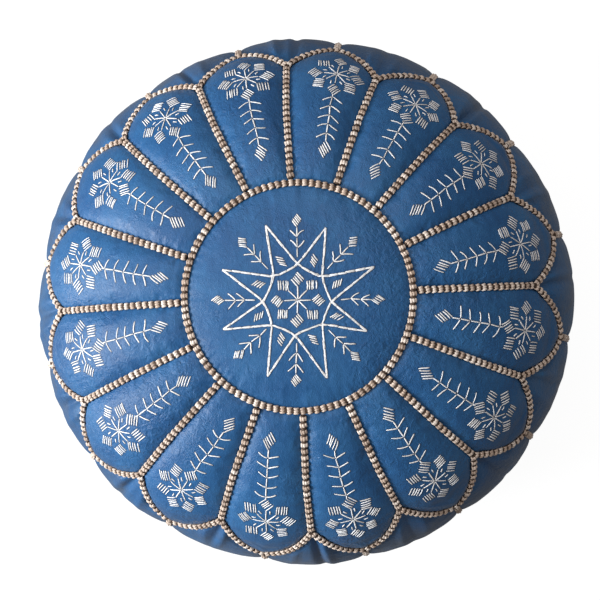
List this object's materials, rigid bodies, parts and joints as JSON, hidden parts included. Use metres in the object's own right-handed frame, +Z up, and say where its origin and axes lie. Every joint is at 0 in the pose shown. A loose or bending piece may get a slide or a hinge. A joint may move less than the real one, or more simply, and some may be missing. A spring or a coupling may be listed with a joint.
{
  "type": "leather pouf",
  "caption": "Round floor pouf: embroidered leather medallion and petals over plain side panels, joined by thick hand-sewn cord, stuffed through a zip in the flat base.",
  "frame": {"origin": "on the floor under the middle of the pouf, at the centre of the base", "axes": "+Z up through the middle of the top; the zip in the base runs along X and is closed with its slider at the +X end"},
  "size_m": [0.5518, 0.5518, 0.349],
  "materials": {
    "leather_blue": "glossy dyed goatskin",
    "seam_thread": "thick matt cord",
    "embroidery_thread": "silky ivory thread",
    "cotton_lining": "raw cotton",
    "stuffing": "loose filling",
    "zip_tape": "woven tape",
    "zip_coil": "nylon",
    "zip_metal": "plated"
  },
  "bodies": {
    "pouf": {"top_medallion": "leather_blue", "petal_01": "leather_blue", "petal_02": "leather_blue", "petal_03": "leather_blue", "petal_04": "leather_blue", "petal_05": "leather_blue", "petal_06": "leather_blue", "petal_07": "leather_blue", "petal_08": "leather_blue", "petal_09": "leather_blue", "petal_10": "leather_blue", "petal_11": "leather_blue", "petal_12": "leather_blue", "petal_13": "leather_blue", "petal_14": "leather_blue", "petal_15": "leather_blue", "petal_16": "leather_blue", "side_panel_01": "leather_blue", "side_panel_02": "leather_blue", "side_panel_03": "leather_blue", "side_panel_04": "leather_blue", "side_panel_05": "leather_blue", "side_panel_06": "leather_blue", "side_panel_07": "leather_blue", "side_panel_08": "leather_blue", "side_panel_09": "leather_blue", "side_panel_10": "leather_blue", "side_panel_11": "leather_blue", "side_panel_12": "leather_blue", "side_panel_13": "leather_blue", "side_panel_14": "leather_blue", "side_panel_15": "leather_blue", "side_panel_16": "leather_blue", "base_half_front": "leather_blue", "base_half_rear": "leather_blue", "medallion_seam": "seam_thread", "petal_seams": "seam_thread", "side_seams": "seam_thread", "cotton_lining": "cotton_lining", "stuffing": "stuffing", "zip_tape_front": "zip_tape", "zip_tape_rear": "zip_tape", "zip_coil_front": "zip_coil", "zip_coil_rear": "zip_coil", "zip_top_stop_front": "zip_metal", "zip_top_stop_rear": "zip_metal", "zip_bottom_stop": "zip_metal"},
    "slider": {"zip_slider": "zip_metal"},
    "pull": {"zip_pull": "zip_metal"}
  },
  "joints": [
    {"name": "zip_slide", "type": "slide", "parent": "pouf", "child": "slider", "axis": [1, 0, 0], "range_m": [-0.252, 0]},
    {"name": "pull_flip", "type": "hinge", "parent": "slider", "child": "pull", "pos_m": [0.126, 0, 0.0024], "axis": [0, -1, 0], "range_deg": [0, 165]}
  ]
}
